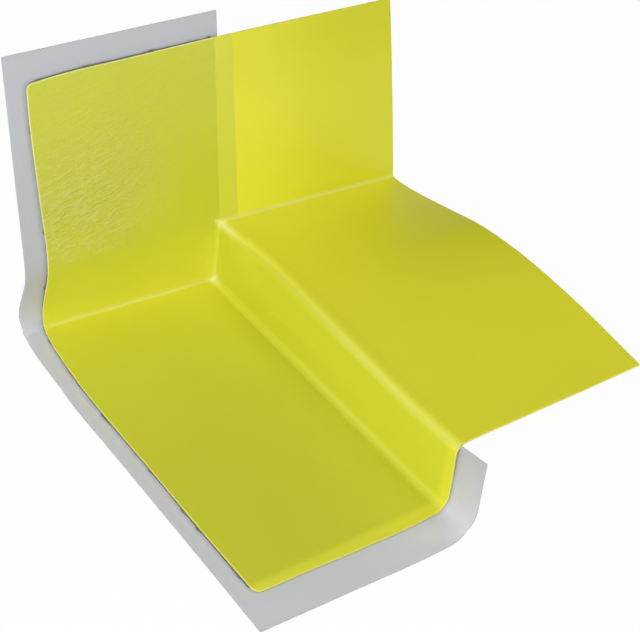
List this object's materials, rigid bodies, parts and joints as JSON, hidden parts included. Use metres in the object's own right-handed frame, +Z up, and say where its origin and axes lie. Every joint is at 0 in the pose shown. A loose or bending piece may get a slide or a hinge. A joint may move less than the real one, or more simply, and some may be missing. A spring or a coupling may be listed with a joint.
{
  "type": "self-adhesive sealing corner",
  "caption": "Flexible moulded sealing corner that steps from a lower to an upper panel and folds up a wall, with self-adhesive backing under a peel-off liner.",
  "frame": {"origin": "middle of the lower panel's underside, where the part stands", "axes": "+X along the wall towards the upper panel, +Y back towards the wall, +Z up"},
  "size_m": [0.1394, 0.1459, 0.0931],
  "materials": {
    "film": "satin, slightly translucent flexible film",
    "adhesive": "dull, tacky butyl",
    "liner": "smooth release-coated film"
  },
  "bodies": {
    "root": {"sealing_film": "film", "butyl_adhesive": "adhesive", "release_liner": "liner"}
  },
  "joints": []
}
